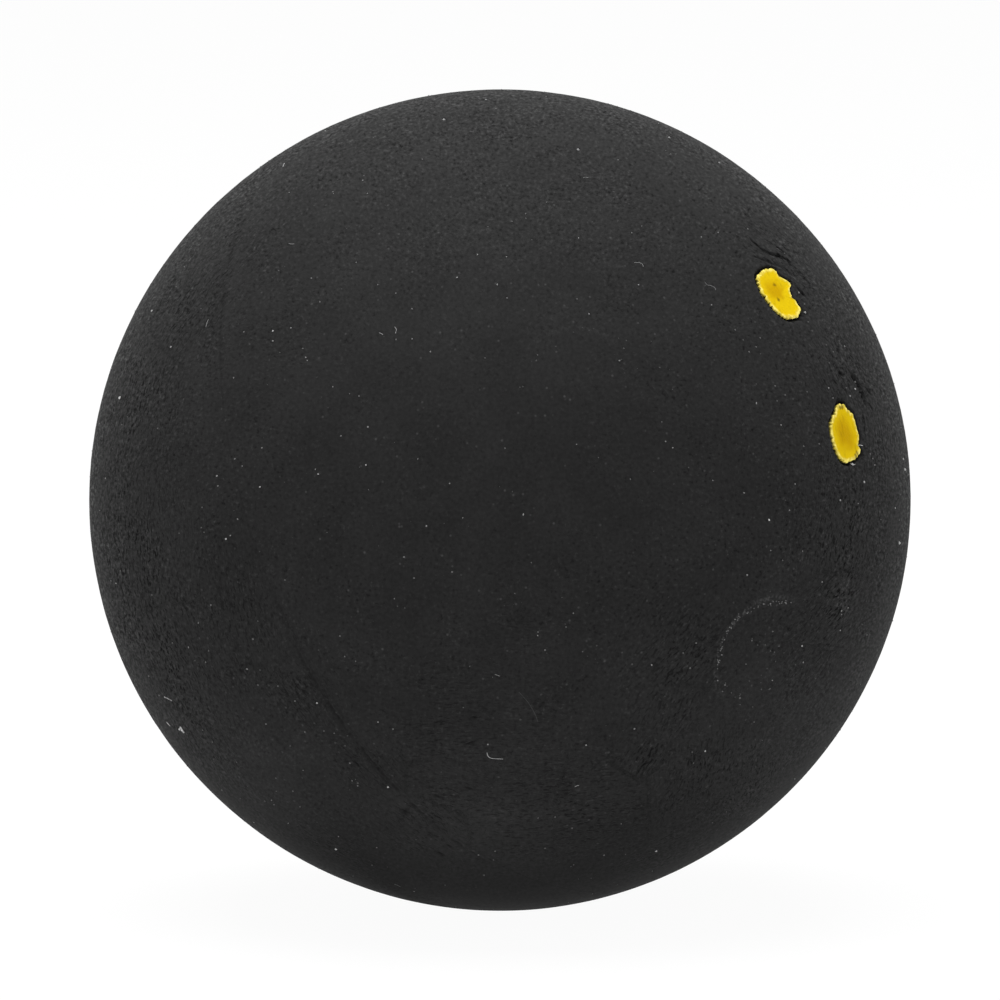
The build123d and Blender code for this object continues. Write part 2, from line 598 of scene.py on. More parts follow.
def buffed_skin_tree():
    """Geometry nodes that raise and lower the outer face in waves, lumps and grain."""
    kinds = {label: "Float" for label in SKIN_RELIEF}
    tree, given, out = new_tree("buffed_skin", {**kinds, "Material": "Material"})
    place = add_node(tree, "GeometryNodeInputPosition").outputs["Position"]
    shares = {"Wave": 1.0, "Lump": 1.0, "Grain": point_value(tree, "rough")}
    height = 0.0
    for form, share in shares.items():
        level = noise(tree, place, given[f"{form} Size"], seed=given["Seed"])
        level = times(tree, swing(tree, level), 2.0, given[f"{form} Height"])
        height = calculate(tree, "MULTIPLY_ADD", level, share, height)
    offset = vector_math(tree, "MULTIPLY", vector_math(tree, "NORMALIZE", place), height)
    outer = calculate(tree, "GREATER_THAN", vector_math(tree, "LENGTH", place), given["Skin From"])
    moving = {"Geometry": given["Geometry"], "Selection": outer, "Offset": offset}
    moved = add_node(tree, "GeometryNodeSetPosition", {}, moving)
    finish_tree(tree, moved.outputs["Geometry"], given["Material"], out)
    return tree


# The rubber's finish. Sizes and heights are in metres, colours in linear light. A span is the part of a
# noise, or of the spacing of spots, over which a mark sets in.
NOISE_SPAN = (0.3, 0.7)
BUFFING_AXIS = camera_back
BUFFING_STRETCH = 3.0
PATCH_SIZE = 0.0022
PATCH_SPAN = (0.35, 0.65)
PATCH_SHARES = (0.7, 1.2)
GRAIN_SIZE = 0.000155
GRAIN_HEIGHT = 0.000066
# Painted glints: the grain's highest tips are painted paler, as if they catch the light.
GLINT_SPAN = (0.60, 0.74)
PAINTED_GLINT = 0.014
# Painted shade in the grain's low hollows.
SHADED_PORE_SPAN = (0.28, 0.40)
PORE_PAINTED_SHADE = 0.80
STROKE_SIZE = 0.000092
STROKE_STRETCH = 3.2
# Painted highlights on the high side of the stroke noise, as the lit lips beside the furrows.
LIT_RIDGE_SPAN = (0.62, 0.76)
RIDGE_PAINTED_HIGHLIGHT = 0.020
FURROW_SPAN = (0.33, 0.46)
FURROW_DEPTH = 0.000050
# Painted shade in the furrows.
FURROW_PAINTED_SHADE = 0.90
PIT_SPACING = 0.0007
PIT_SPAN = (0.03, 0.11)
PITLESS_SHARE = 0.5
PIT_DEPTH = 0.000018
# Painted shade in the pits.
PIT_PAINTED_SHADE = 0.5
# Painted shade in the creases and in the gaps round the dots' pockets.
CREASE_PAINTED_SHADE = 0.92
SEAM_BAND = 0.0007
STREAK_LENGTH = 0.0014
STREAK_NARROWNESS = 0.11
STREAK_HEIGHT = 0.000030
RUBBER_BLACK = 0.0132
MOTTLE_SIZE = 0.00016
LEAST_MOTTLE = 0.72
MORE_MOTTLE = 0.20
CLOUD_SIZE = 0.0028
CLOUD_SHADES = (0.92, 1.08)
SPECKLE_SPACING = 0.00042
SPECKLE_SPAN = (0.04, 0.20)
SPECKLE_PICK = (0.55, 1.0)
SPECKLE_BLOOM = 0.026
SCUFF_WIDTH = 0.00020
SCUFF_BLOOM = 0.030
SCUFF_FAINT_SIDE = -0.2
SCUFF_FAINTEST = 0.1
CHALK_SPAN = (0.45, 0.65)
RUBBER_ROUGHNESS = 0.77
ROUGHNESS_SPREAD = 0.20
RUBBER_SPECULAR = 0.063
RUBBER_SHEEN = 0.010
RUBBER_SHEEN_ROUGHNESS = 0.5

# Where the rubber is painted paler low on the ball, as painted light from the floor: the middle's pixel, the
# radius, and the share that it is paler by.
PAINTED_BOUNCE_PLACES = [
    ((480, 848), 0.0085, 0.55),
    ((270, 790), 0.0075, 0.28),
    ((745, 760), 0.0065, 0.16),
]


def new_finish(name):
    """A new material, with its tree, its shader and the places on the piece."""
    material = bpy.data.materials.new(name)
    material.use_nodes = True
    tree = material.node_tree
    place = add_node(tree, "ShaderNodeTexCoord").outputs["Object"]
    return material, tree, tree.nodes["Principled BSDF"], place


def noted(tree, name, kind="Fac"):
    """What a mesh keeps for each of its points under a name, in a material."""
    return add_node(tree, "ShaderNodeAttribute", {"attribute_name": name}).outputs[kind]


def roughen(tree, shader, height, distance):
    """Raises a finish by a height, in metres once it is multiplied by the distance."""
    bump = add_node(tree, "ShaderNodeBump", {}, {"Height": height, "Strength": 1.0, "Distance": distance})
    tree.links.new(bump.outputs["Normal"], shader.inputs["Normal"])


def stretched_place(tree, place, way, stretch):
    """Places drawn together along a way, so that a noise which reads them is stretched along it."""
    along = vector_math(tree, "DOT_PRODUCT", place, way)
    drawn = times(tree, along, 1 / stretch - 1)
    return vector_math(tree, "MULTIPLY_ADD", way, drawn, place)


def scattered_spots(tree, place, spacing, span):
    """Round spots about this far apart, fading over a span of the spacing, and a random colour for each."""
    cells = add_node(tree, "ShaderNodeTexVoronoi", {}, {"Vector": place, "Scale": 1 / spacing})
    pick = add_node(tree, "ShaderNodeSeparateColor", {}, {"Color": cells.outputs["Color"]})
    return ranged(tree, cells.outputs["Distance"], *span, 1.0, 0.0), pick.outputs


def scuff_ring(tree, place, stamp, brightest_pixel):
    """A broken ring of dust along a stamped mark's edge, strongest towards one side."""
    pixel, radius = stamp[:2]
    middle = on_skin(pixel)
    offset = vector_math(tree, "SUBTRACT", place, middle)
    off_ring = calculate(tree, "SUBTRACT", vector_math(tree, "LENGTH", offset), radius)
    ring = ranged(tree, calculate(tree, "ABSOLUTE", off_ring), 0.0, SCUFF_WIDTH, 1.0, 0.0)
    towards = (on_skin(brightest_pixel) - middle).normalized()
    side = vector_math(tree, "DOT_PRODUCT", offset, towards)
    side = ranged(tree, side, SCUFF_FAINT_SIDE * radius, radius, SCUFF_FAINTEST, 1.0)
    return times(tree, ring, side)


def black_rubber(name, black):
    """Dull black rubber: buffing strokes, grain, pits, seam streaks, a bloom of dust, and painted shade and
    light.
    """
    material, tree, shader, place = new_finish(name)
    patch = ranged(tree, noise(tree, place, PATCH_SIZE, detail=1.0), *PATCH_SPAN, *PATCH_SHARES)
    rough = times(tree, noted(tree, "rough"), patch)
    stroked = times(tree, noted(tree, "stroked"), patch)

    buffed = stretched_place(tree, place, tuple(BUFFING_AXIS), BUFFING_STRETCH)
    grain = noise(tree, buffed, GRAIN_SIZE)
    height = times(tree, swing(tree, grain), GRAIN_HEIGHT, rough)

    stroke_place = stretched_place(tree, buffed, noted(tree, "stroke_way", "Vector"), STROKE_STRETCH)
    stroke = noise(tree, stroke_place, STROKE_SIZE, detail=1.0)
    furrow = times(tree, ranged(tree, stroke, *FURROW_SPAN, 1.0, 0.0), stroked)
    height = calculate(tree, "MULTIPLY_ADD", furrow, -FURROW_DEPTH, height)

    pit, pit_pick = scattered_spots(tree, place, PIT_SPACING, PIT_SPAN)
    picked = calculate(tree, "GREATER_THAN", pit_pick["Red"], PITLESS_SHARE)
    pit = times(tree, pit, picked, rough)
    height = calculate(tree, "MULTIPLY_ADD", pit, -PIT_DEPTH, height)

    seam_frame = {"Vector": place, "Rotation": lay_down.to_euler()}
    from_seam = add_node(tree, "ShaderNodeMapping", {"vector_type": "TEXTURE"}, seam_frame)
    rise = add_node(tree, "ShaderNodeSeparateXYZ", {}, {"Vector": from_seam.outputs["Vector"]}).outputs["Z"]
    off_seam = calculate(tree, "ABSOLUTE", rise)
    seam_frame["Scale"] = (1, 1, STREAK_NARROWNESS)
    stretched = add_node(tree, "ShaderNodeMapping", {"vector_type": "TEXTURE"}, seam_frame)
    streak = swing(tree, noise(tree, stretched.outputs["Vector"], STREAK_LENGTH))
    streak = times(tree, streak, ranged(tree, off_seam, 0.0, SEAM_BAND, 1.0, 0.0), rough)
    height = calculate(tree, "MULTIPLY_ADD", streak, STREAK_HEIGHT, height)
    roughen(tree, shader, height, 1.0)

    mottle = swing(tree, noise(tree, buffed, MOTTLE_SIZE, detail=1.0))
    contrast = calculate(tree, "MULTIPLY_ADD", rough, MORE_MOTTLE, LEAST_MOTTLE)
    cloud = ranged(tree, noise(tree, place, CLOUD_SIZE), *NOISE_SPAN, *CLOUD_SHADES)
    tint = times(tree, calculate(tree, "MULTIPLY_ADD", mottle, contrast, 1.0), black, cloud)
    # Painted light: the rubber is painted paler low on the ball, as if lit from the white floor below.
    for pixel, radius, paler in PAINTED_BOUNCE_PLACES:
        gap = vector_math(tree, "DISTANCE", place, on_skin(pixel))
        tint = times(tree, tint, ranged(tree, gap, 0.0, radius, 1.0 + paler, 1.0))
    # Painted glints on the grain's tips, stronger where the skin is rough.
    painted_glint = times(tree, ranged(tree, grain, *GLINT_SPAN, 0.0, PAINTED_GLINT), rough)
    # Painted highlights beside the furrows, where the strokes rise.
    painted_ridge_highlight = times(tree, ranged(tree, stroke, *LIT_RIDGE_SPAN, 0.0, RIDGE_PAINTED_HIGHLIGHT), stroked)
    tint = calculate(tree, "ADD", tint, calculate(tree, "ADD", painted_glint, painted_ridge_highlight))

    # Painted shade: the rubber is darkened in the grain's hollows, the furrows, the pits, the creases and
    # the pockets, where shade falls.
    painted_shade = times(tree, ranged(tree, grain, *SHADED_PORE_SPAN, PORE_PAINTED_SHADE, 0.0), rough)
    shaded_hollows = ((furrow, FURROW_PAINTED_SHADE), (pit, PIT_PAINTED_SHADE), (noted(tree, "crease"), CREASE_PAINTED_SHADE))
    for hollow, shade_strength in shaded_hollows:
        painted_shade = calculate(tree, "MAXIMUM", painted_shade, times(tree, hollow, shade_strength))
    tint = times(tree, tint, calculate(tree, "SUBTRACT", 1.0, painted_shade))

    speckle, speckle_pick = scattered_spots(tree, place, SPECKLE_SPACING, SPECKLE_SPAN)
    picked = ranged(tree, speckle_pick["Green"], *SPECKLE_PICK, 0.0, 1.0)
    speckle = times(tree, speckle, picked)
    tint = calculate(tree, "MULTIPLY_ADD", speckle, SPECKLE_BLOOM, tint)
    chalk = ranged(tree, noise(tree, place, GRAIN_SIZE), *CHALK_SPAN, 0.0, 1.0)
    for stamp, brightest_pixel, strength in zip(STAMPS, SCUFFED_SIDE_PIXELS, SCUFF_STRENGTHS):
        scuff = times(tree, scuff_ring(tree, place, stamp, brightest_pixel), chalk)
        tint = calculate(tree, "MULTIPLY_ADD", scuff, strength * SCUFF_BLOOM, tint)
    tree.links.new(tint, shader.inputs["Base Color"])

    roughness = ranged(tree, grain, *NOISE_SPAN, ROUGHNESS_SPREAD, -ROUGHNESS_SPREAD)
    roughness = calculate(tree, "MULTIPLY_ADD", roughness, rough, RUBBER_ROUGHNESS)
    tree.links.new(roughness, shader.inputs["Roughness"])
    shader.inputs["Specular IOR Level"].default_value = RUBBER_SPECULAR
    shader.inputs["Sheen Weight"].default_value = RUBBER_SHEEN
    shader.inputs["Sheen Roughness"].default_value = RUBBER_SHEEN_ROUGHNESS
    return material


buffed_skin = buffed_skin_tree()
rubber = black_rubber("buffed_black_rubber", RUBBER_BLACK)
shells = {}
for node, turn_over in (("dotted_half_shell", False), ("plain_half_shell", True)):
    mesh = half_shell_mesh(node, turn_over)
    refine(mesh)
    press_marks(mesh)
    shell = make_piece(f"{node}_rubber", mesh)
    run_tree(shell, buffed_skin, {**SKIN_RELIEF, "Material": rubber})
    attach(shell, "root")
    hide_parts(node)
    shells[node] = shell


# Seam bond
# A flat ring of cured rubber adhesive between the two buffed rims. It is trimmed and buffed with the ball,
# so only its outer edge shows, as a faint line of slightly darker glue, with painted shade along the creases
# that follow the seam.
BOND_SETBACK = 0.000001
BOND_BLACK = 0.0118
BOND_STEPS = 4 * OUTER_CELLS


def bond_ring_tree():
    """Geometry nodes that sweep the bond's flat section round the ball."""
    kinds = {"Inner Radius": "Float", "Outer Radius": "Float", "Thickness": "Float", "Steps": "Int"}
    tree, given, out = new_tree("bond_ring", {**kinds, "Turn": "Rotation", "Material": "Material"})
    width = calculate(tree, "SUBTRACT", given["Outer Radius"], given["Inner Radius"])
    middle = calculate(tree, "ADD", given["Outer Radius"], given["Inner Radius"])
    middle = times(tree, middle, 0.5)
    path_sizes = {"Resolution": given["Steps"], "Radius": middle}
    path = add_node(tree, "GeometryNodeCurvePrimitiveCircle", {}, path_sizes)
    section_sizes = {"Width": width, "Height": given["Thickness"]}
    section = add_node(tree, "GeometryNodeCurvePrimitiveQuadrilateral", {}, section_sizes)
    sweep = {"Curve": path.outputs["Curve"], "Profile Curve": section.outputs["Curve"]}
    ring = add_node(tree, "GeometryNodeCurveToMesh", {}, sweep)
    shading = {"Geometry": ring.outputs["Mesh"], "Shade Smooth": False}
    flat = add_node(tree, "GeometryNodeSetShadeSmooth", {}, shading)
    laying = {"Geometry": flat.outputs["Geometry"], "Rotation": given["Turn"]}
    laid = add_node(tree, "GeometryNodeTransform", {}, laying)
    finish_tree(tree, laid.outputs["Geometry"], given["Material"], out)
    return tree


bond_glue = black_rubber("cured_bond", BOND_BLACK)
bond = make_piece("seam_bond_ring", bpy.data.meshes.new("seam_bond_ring"))
run_tree(bond, bond_ring_tree(), {
    "Inner Radius": LINING_RADIUS,
    "Outer Radius": SKIN_RADIUS - BOND_SETBACK,
    "Thickness": 2 * RIM_HEIGHT,
    "Steps": BOND_STEPS,
    "Turn": lay_down.to_euler(),
    "Material": bond_glue,
})
press_marks(bond.data)
run_tree(bond, buffed_skin, {**SKIN_RELIEF, "Material": bond_glue})
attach(bond, "root")
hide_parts("seam_bond")


# Speed dots
# Two small discs of thick yellow ink, pressed into shallow pockets near the pole of one half. Wear has
# nibbled their edges and dished their middles, and left a paler lip of scraped ink round each.
DOT_STEPS = 380
TOOTH_FADE = 8

# The dot's section from its middle over its lip to its foot: the share of the way out, and the depth.
DOT_PROFILE = (
    (0.12, 0.000052),
    (0.30, 0.000052),
    (0.50, 0.000050),
    (0.65, 0.000044),
    (0.76, 0.000035),
    (0.84, 0.000024),
    (0.90, 0.000012),
    (0.95, 0.000008),
    (0.985, 0.000016),
    (1.00, 0.000040),
    (0.99, 0.000170),
    (0.50, 0.000172),
)
INK_OCHRE = (0.425, 0.258, 0.001, 1)
INK_YELLOW = (0.560, 0.392, 0.003, 1)
INK_PALE = (0.520, 0.420, 0.060, 1)
INK_BEAD = (0.740, 0.620, 0.140, 1)
INK_DIRT = (0.050, 0.032, 0.004, 1)
INK_CLOUD_SIZE = 0.0011
INK_CLOUD_SWING = 0.9
INK_BODY_SPAN = (0.2, 0.85)
INK_GRAIN_SIZE = 0.00012
INK_GRAIN_HEIGHT = 0.00002
INK_RIM_SWING = 0.2
INK_RIM_SPAN = (0.82, 0.94)
INK_BEAD_SIZE = 0.00026
INK_BEAD_SPAN = (0.40, 0.60)
INK_STREAK_SIZE = 0.00022
INK_STREAK_DRAW = (1.0, 1.0, 0.3)
INK_STREAK_SPAN = (0.25, 0.45)
INK_STREAK_DIRT = 0.20
INK_SPECK_PIXELS = [(775, 284), (779, 299), (842.6, 407), (840.5, 407.4), (857.3, 452.6), (856, 455.4)]
INK_SPECK_RADIUS = 0.00016
INK_SPECK_CORE = INK_SPECK_RADIUS / 3
INK_SPECK_DIRT = 0.65
FRESH_INK_PIXEL = (791, 309)
FRESH_INK_RADIUS = 0.0013
FRESH_INK_GAIN = 0.8
INK_ROUGHNESS = (0.55, 0.75)
INK_SPECULAR = 0.015


def speed_dot_mesh(node):
    """A closed disc of ink on the ball's curve, from its dished top over its toothed lip to its foot."""
    way, across, along = dot_axes(node)
    turns = np.linspace(0, 2 * math.pi, DOT_STEPS, endpoint=False)
    edge = dot_edge(node, turns)
    notches = dot_notches(node, turns)
    spokes = np.outer(np.cos(turns), across) + np.outer(np.sin(turns), along)
    rows = []
    for share, depth in DOT_PROFILE:
        lean = np.arcsin((share * edge - share**TOOTH_FADE * notches) / SKIN_RADIUS)[:, None]
        rows.append((np.cos(lean) * way + np.sin(lean) * spokes) * (SKIN_RADIUS - depth))
    top = way * (SKIN_RADIUS - DOT_PROFILE[0][1])
    foot = way * (SKIN_RADIUS - DOT_PROFILE[-1][1])
    points = np.concatenate(rows + [top[None], foot[None]])
    following = [(step + 1) % DOT_STEPS for step in range(DOT_STEPS)]
    faces = []
    for row in range(len(rows) - 1):
        first = row * DOT_STEPS
        second = first + DOT_STEPS
        faces += [(first + i, second + i, second + j, first + j) for i, j in enumerate(following)]
    last = (len(rows) - 1) * DOT_STEPS
    faces += [(len(points) - 2, i, j) for i, j in enumerate(following)]
    faces += [(last + i, len(points) - 1, last + j) for i, j in enumerate(following)]
    mesh = bpy.data.meshes.new(node)
    mesh.from_pydata(points.tolist(), [], faces)
    mesh.shade_smooth()
    lip = [share for share, depth in DOT_PROFILE for step in turns] + [0, 0]
    note(mesh, "lip", lip)
    return mesh


def mixed_ink(tree, share, first, second):
    """One colour of ink that goes over into another by a share."""
    inputs = {"Factor": share, 6: first, 7: second}
    return add_node(tree, "ShaderNodeMix", {"data_type": "RGBA"}, inputs).outputs[2]


def yellow_ink():
    """Thick matt yellow ink: ochre and grubby in its dish, scraped pale along its lip."""
    material, tree, shader, place = new_finish("worn_yellow_ink")
    lip = noted(tree, "lip")
    cloud = swing(tree, noise(tree, place, INK_CLOUD_SIZE))
    worn = calculate(tree, "MULTIPLY_ADD", cloud, INK_CLOUD_SWING, lip)
    from_fresh = vector_math(tree, "DISTANCE", place, on_skin(FRESH_INK_PIXEL))
    fresh = ranged(tree, from_fresh, 0.0, FRESH_INK_RADIUS, FRESH_INK_GAIN, 0.0)
    body_share = ranged(tree, calculate(tree, "ADD", worn, fresh), *INK_BODY_SPAN, 0.0, 1.0)
    body = mixed_ink(tree, body_share, INK_OCHRE, INK_YELLOW)

    bead_share = ranged(tree, noise(tree, place, INK_BEAD_SIZE, detail=1.0), *INK_BEAD_SPAN, 0.0, 1.0)
    beads = mixed_ink(tree, bead_share, INK_PALE, INK_BEAD)
    grain = noise(tree, place, INK_GRAIN_SIZE)
    rim = calculate(tree, "MULTIPLY_ADD", swing(tree, grain), INK_RIM_SWING, lip)
    colour = mixed_ink(tree, ranged(tree, rim, *INK_RIM_SPAN, 0.0, 1.0), body, beads)

    streak = noise(tree, vector_math(tree, "MULTIPLY", place, INK_STREAK_DRAW), INK_STREAK_SIZE)
    dirt = ranged(tree, streak, *INK_STREAK_SPAN, INK_STREAK_DIRT, 0.0)
    for pixel in INK_SPECK_PIXELS:
        gap = vector_math(tree, "DISTANCE", place, on_skin(pixel))
        gap = calculate(tree, "MULTIPLY_ADD", swing(tree, grain), INK_SPECK_RADIUS, gap)
        speck = ranged(tree, gap, INK_SPECK_CORE, INK_SPECK_RADIUS, INK_SPECK_DIRT, 0.0)
        dirt = calculate(tree, "MAXIMUM", dirt, speck)
    tree.links.new(mixed_ink(tree, dirt, colour, INK_DIRT), shader.inputs["Base Color"])
    roughen(tree, shader, grain, INK_GRAIN_HEIGHT)
    tree.links.new(ranged(tree, grain, *NOISE_SPAN, *INK_ROUGHNESS), shader.inputs["Roughness"])
    shader.inputs["Specular IOR Level"].default_value = INK_SPECULAR
    return material


ink = yellow_ink()
for node in dot_ways:
    dot = make_piece(f"{node}_ink", speed_dot_mesh(node))
    dot.data.materials.append(ink)
    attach(dot, "root")
    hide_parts(node)


# Dust
# Pale grains of court dust pressed into the skin. A few lie where the photograph shows bright ones,
# some follow the round scuffs, and the rest are strewn over the ball in loose clusters.

# Grains with a place of their own: their size, their paleness, and the pixels where they lie.
PLACED_GRAINS = [
    (0.000105, 0.95, [
        (899, 543), (120, 398), (904.5, 469.5), (444, 120), (486, 100), (578, 150), (669, 138),
        (903, 459), (179.6, 729.2), (181.2, 727.9), (182.3, 730), (183.7, 731.9),
    ]),
    (0.000076, 0.90, [
        (852.5, 464.3), (864, 482), (226, 539), (336, 849), (656, 851), (802, 646), (805, 312.5),
        (366, 465), (769, 520), (705, 751), (855, 389), (273, 331), (152, 311), (171, 347), (895, 508),
        (719, 163), (388, 787),
    ]),
    (0.000052, 0.75, [
        (164.8, 697), (166.2, 697.6), (167.6, 698.3), (169, 699), (170.3, 699.7), (171.5, 700.4),
        (166.8, 722.2), (167.8, 723.2), (168.8, 724.3), (169.8, 725.4),
    ]),
    (0.000060, 0.50, [
        (260, 487), (333, 192), (586, 745), (291, 328), (822, 582), (828.5, 388), (604, 855), (217, 476),
        (378, 722), (855, 382), (696, 643), (218, 486), (589, 314), (368, 427), (317, 703), (781, 425),
        (850, 396), (795, 484), (414, 891), (244, 332), (262, 448), (618, 160), (747, 575),
    ]),
    (0.000062, 0.22, [
        (495, 851), (341, 436), (785, 395), (725, 685), (412, 309), (754, 722), (485, 358), (488, 227),
        (538, 632), (577, 299), (278, 686), (372, 865), (452, 572), (484, 875), (591, 878), (692, 752),
        (807, 392), (829, 300), (870, 454), (235, 459), (507, 298), (350, 763), (293, 791), (404, 557),
        (555, 817), (690, 668), (545, 650), (572, 828), (819, 444), (683, 653), (414, 578), (566, 627),
        (324, 731), (393, 729), (893, 427), (740, 698), (743, 340), (749, 352), (756, 347), (760, 338),
        (735, 330), (808, 322), (812, 331), (826, 345), (833, 352), (839, 341), (829, 363), (775, 386),
        (777, 401), (846, 388), (253, 639), (247, 669), (258, 685), (295, 701), (266, 724), (276, 778),
        (265, 801), (222, 790), (211, 605), (152, 595), (149, 676), (305, 732), (285, 580), (340, 636),
        (159.3, 695.2),
    ]),
]
PLACED_SIZE_SPREAD = (0.8, 1.2)
PLACED_SHADE_SPREAD = (0.7, 1.05)

# Grains along the scuffs: how many, how far they stray in pixels, the palest, and the scuff's pixels.
SCUFF_ARCS = [
    (60, 1.2, 0.30, [(717, 668), (720, 650), (727, 632), (739, 617), (757, 607), (776, 602), (790, 602)]),
    (14, 3.0, 0.15, [
        (520, 398), (528, 372), (545, 350), (566, 334), (585, 329), (606, 335), (625, 351), (636, 372),
    ]),
    (18, 12.0, 0.20, [(752, 640), (768, 652), (780, 668)]),
    (8, 3.0, 0.20, [(724, 686), (740, 700), (760, 706)]),
]
SCUFF_GRAIN = 0.000046
SCUFF_SIZE_SPREAD = (0.6, 1.3)
SCUFF_SHADE_SPREAD = (0.3, 1.0)

# Grains strewn over the rest of the ball.
DUST_SEED = 5
CLUSTER_SEED = 1.0
CLUSTER_SPAN = (0.35, 0.75)
CLUSTER_SHARES = (0.15, 2.6)
SMALL_GRAIN_POWER = 3.0
FLATTEST_GRAIN = (0.7, 0.5, 0.4)
FULLEST_GRAIN = (1.2, 0.9, 0.7)
DUST_SHADES = (0.035, 0.50)
CRUMB_SIZE = 0.00003
CRUMB_HEIGHT = 0.00001
CRUMB_SHADES = (0.7, 1.2)
CRUMB_ROUGHNESS = (0.8, 1.0)
CRUMB_SPECULAR = 0.1


def dust_points():
    """A mesh of loose points for the grains that have a place of their own, with their size and paleness."""
    draw = np.random.default_rng(DUST_SEED)
    points = []
    sizes = []
    shades = []
    for size, shade, pixels in PLACED_GRAINS:
        points += [on_skin(pixel) for pixel in pixels]
        sizes += list(size * draw.uniform(*PLACED_SIZE_SPREAD, len(pixels)))
        shades += list(shade * draw.uniform(*PLACED_SHADE_SPREAD, len(pixels)))
    for count, spread, palest, pixels in SCUFF_ARCS:
        route = np.array(pixels)
        steps = np.arange(len(route))
        for along in draw.uniform(0, len(route) - 1, count):
            pixel = [np.interp(along, steps, side) + draw.normal(0, spread) for side in route.T]
            points.append(on_skin(pixel))
            sizes.append(SCUFF_GRAIN * draw.uniform(*SCUFF_SIZE_SPREAD))
            shades.append(palest * draw.uniform(*SCUFF_SHADE_SPREAD))
    mesh = bpy.data.meshes.new("dust")
    mesh.from_pydata(points, [], [])
    note(mesh, "grain_size", sizes)
    note(mesh, "grain_shade", shades)
    return mesh


def dust_tree():
    """Geometry nodes that strew grains over the outside of both shells, and set one at each placed point."""
    shells_in = {"Dotted Half": "Object", "Plain Half": "Object"}
    sizes_in = {"Grains per Area": "Float", "Cluster Size": "Float", "Smallest": "Float", "Largest": "Float"}
    more_in = {"Palest": "Float", "Skin From": "Float", "Seed": "Int", "Material": "Material"}
    tree, given, out = new_tree("dust", {**shells_in, **sizes_in, **more_in})
    skins = add_node(tree, "GeometryNodeJoinGeometry")
    for label in shells_in:
        skin = add_node(tree, "GeometryNodeObjectInfo", {}, {"Object": given[label]})
        tree.links.new(skin.outputs["Geometry"], skins.inputs["Geometry"])
    place = add_node(tree, "GeometryNodeInputPosition").outputs["Position"]
    cluster = noise(tree, place, given["Cluster Size"], seed=CLUSTER_SEED)
    cluster = ranged(tree, cluster, *CLUSTER_SPAN, *CLUSTER_SHARES)
    reach = vector_math(tree, "LENGTH", place)
    strewing = {
        "Mesh": skins.outputs["Geometry"],
        "Selection": calculate(tree, "GREATER_THAN", reach, given["Skin From"]),
        "Density": times(tree, cluster, given["Grains per Area"]),
        "Seed": given["Seed"],
    }
    strewn = add_node(tree, "GeometryNodeDistributePointsOnFaces", {}, strewing)
    inside = calculate(tree, "LESS_THAN", reach, given["Skin From"])
    clearing = {"Geometry": strewn.outputs["Points"], "Selection": inside}
    on_outside = add_node(tree, "GeometryNodeDeleteGeometry", {"domain": "POINT"}, clearing)
    placed = add_node(tree, "GeometryNodeMeshToPoints", {}, {"Mesh": given["Geometry"]})
    points = add_node(tree, "GeometryNodeJoinGeometry")
    tree.links.new(on_outside.outputs["Geometry"], points.inputs["Geometry"])
    tree.links.new(placed.outputs["Points"], points.inputs["Geometry"])
    grain = add_node(tree, "GeometryNodeMeshIcoSphere", {}, {"Radius": 1.0, "Subdivisions": 1})
    chance = add_node(tree, "FunctionNodeRandomValue", {"data_type": "FLOAT"}, {"Seed": given["Seed"]})
    chance = calculate(tree, "POWER", chance.outputs[1], SMALL_GRAIN_POWER)
    spread = calculate(tree, "SUBTRACT", given["Largest"], given["Smallest"])
    size = calculate(tree, "MULTIPLY_ADD", chance, spread, given["Smallest"])
    size = calculate(tree, "MAXIMUM", size, point_value(tree, "grain_size"))
    shade = times(tree, chance, given["Palest"])
    shade = calculate(tree, "MAXIMUM", shade, point_value(tree, "grain_shade"))
    shape = add_node(tree, "FunctionNodeRandomValue", {"data_type": "FLOAT_VECTOR"}, {
        0: FLATTEST_GRAIN,
        1: FULLEST_GRAIN,
        "Seed": given["Seed"],
    })
    turn = add_node(tree, "FunctionNodeRandomValue", {"data_type": "FLOAT_VECTOR"}, {
        1: (math.tau, math.tau, math.tau),
        "Seed": given["Seed"],
    })
    setting = {
        "Points": points.outputs["Geometry"],
        "Instance": grain.outputs["Mesh"],
        "Rotation": turn.outputs[0],
        "Scale": vector_math(tree, "MULTIPLY", shape.outputs[0], size),
    }
    grains = add_node(tree, "GeometryNodeInstanceOnPoints", {}, setting)
    shading = {"Geometry": grains.outputs["Instances"], "Name": "paleness", "Value": shade}
    shaded = add_node(tree, "GeometryNodeStoreNamedAttribute", {"domain": "INSTANCE"}, shading)
    finish_tree(tree, shaded.outputs["Geometry"], given["Material"], out)
    return tree


def court_dust(name, darkest, palest):
    """Chalky grey dust, uneven within each grain and from grain to grain."""
    material, tree, shader, place = new_finish(name)
    crumb = noise(tree, place, CRUMB_SIZE)
    shade = calculate(tree, "MULTIPLY_ADD", noted(tree, "paleness"), palest - darkest, darkest)
    shade = times(tree, shade, ranged(tree, crumb, *NOISE_SPAN, *CRUMB_SHADES))
    tree.links.new(shade, shader.inputs["Base Color"])
    roughen(tree, shader, crumb, CRUMB_HEIGHT)
    tree.links.new(ranged(tree, crumb, *NOISE_SPAN, *CRUMB_ROUGHNESS), shader.inputs["Roughness"])
    shader.inputs["Specular IOR Level"].default_value = CRUMB_SPECULAR
    return material


dust = make_piece("dust_grains", dust_points())
run_tree(dust, dust_tree(), {
    "Dotted Half": shells["dotted_half_shell"],
    "Plain Half": shells["plain_half_shell"],
    "Grains per Area": 300000.0,
    "Cluster Size": 0.004,
    "Smallest": 0.000028,
    "Largest": 0.000060,
    "Palest": 0.50,
    "Skin From": 0.01985,
    "Seed": DUST_SEED,
    "Material": court_dust("court_dust", *DUST_SHADES),
})
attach(dust, "root")


